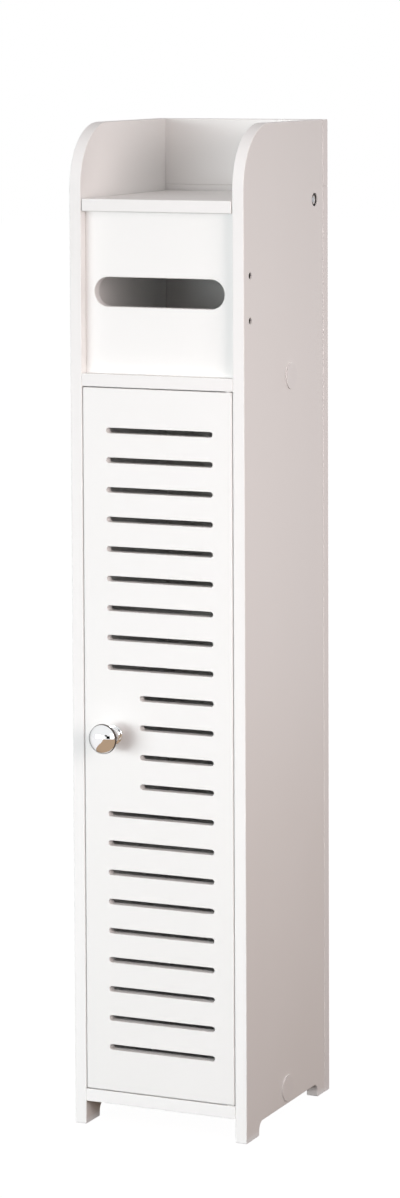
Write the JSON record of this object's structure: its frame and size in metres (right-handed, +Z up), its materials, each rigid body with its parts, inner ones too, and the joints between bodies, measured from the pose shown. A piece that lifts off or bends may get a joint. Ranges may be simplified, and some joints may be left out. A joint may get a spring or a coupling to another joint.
{
  "type": "bathroom floor cabinet",
  "caption": "Narrow free-standing white bathroom cabinet: lift-up tray lid over a compartment with a slotted front, and a tall cupboard behind a louvred door.",
  "frame": {"origin": "on the floor, in the middle of the box round the whole cabinet with its knob", "axes": "+X to the right as one faces the door, +Y to the back, +Z up"},
  "size_m": [0.152, 0.197, 0.8],
  "materials": {
    "white_board": "white wood-plastic board, satin skin",
    "white_plastic": "moulded, fine satin",
    "chrome": "bright plated",
    "zinc_steel": "zinc plated",
    "magnet": "pressed ferrite",
    "dowel_wood": "fluted beech"
  },
  "bodies": {
    "cabinet": {"left_side_panel": "white_board", "right_side_panel": "white_board", "lower_back_board": "white_board", "upper_back_rail": "white_board", "compartment_floor": "white_board", "bottom_shelf": "white_board", "dispenser_front": "white_board", "lower_inner_shelf": "white_board", "upper_inner_shelf": "white_board", "inner_shelf_pins": "white_plastic", "shelf_screws": "zinc_steel", "shelf_screw_caps": "white_plastic", "shelf_dowels": "dowel_wood", "front_screws": "zinc_steel", "back_board_screws": "zinc_steel", "back_rail_screws": "zinc_steel", "upper_door_bush": "white_plastic", "lower_door_bush": "white_plastic", "lid_bushes": "white_plastic", "catch_housing": "white_plastic", "catch_magnet": "magnet", "catch_pole_plates": "zinc_steel", "catch_screws": "zinc_steel"},
    "lid": {"flip_lid": "white_board", "lid_pins": "zinc_steel"},
    "door": {"door_panel": "white_board", "door_knob": "chrome", "knob_screw": "zinc_steel", "upper_door_pin": "zinc_steel", "lower_door_pin": "zinc_steel", "strike_plate": "zinc_steel", "strike_screw": "zinc_steel"}
  },
  "joints": [
    {"name": "lid_hinge", "type": "hinge", "parent": "cabinet", "child": "lid", "pos_m": [0, 0.0705, 0.736], "axis": [-1, 0, 0], "range_deg": [0, 100]},
    {"name": "door_hinge", "type": "hinge", "parent": "cabinet", "child": "door", "pos_m": [0.0602, -0.0687, 0.311], "axis": [0, 0, 1], "range_deg": [0, 110]}
  ]
}
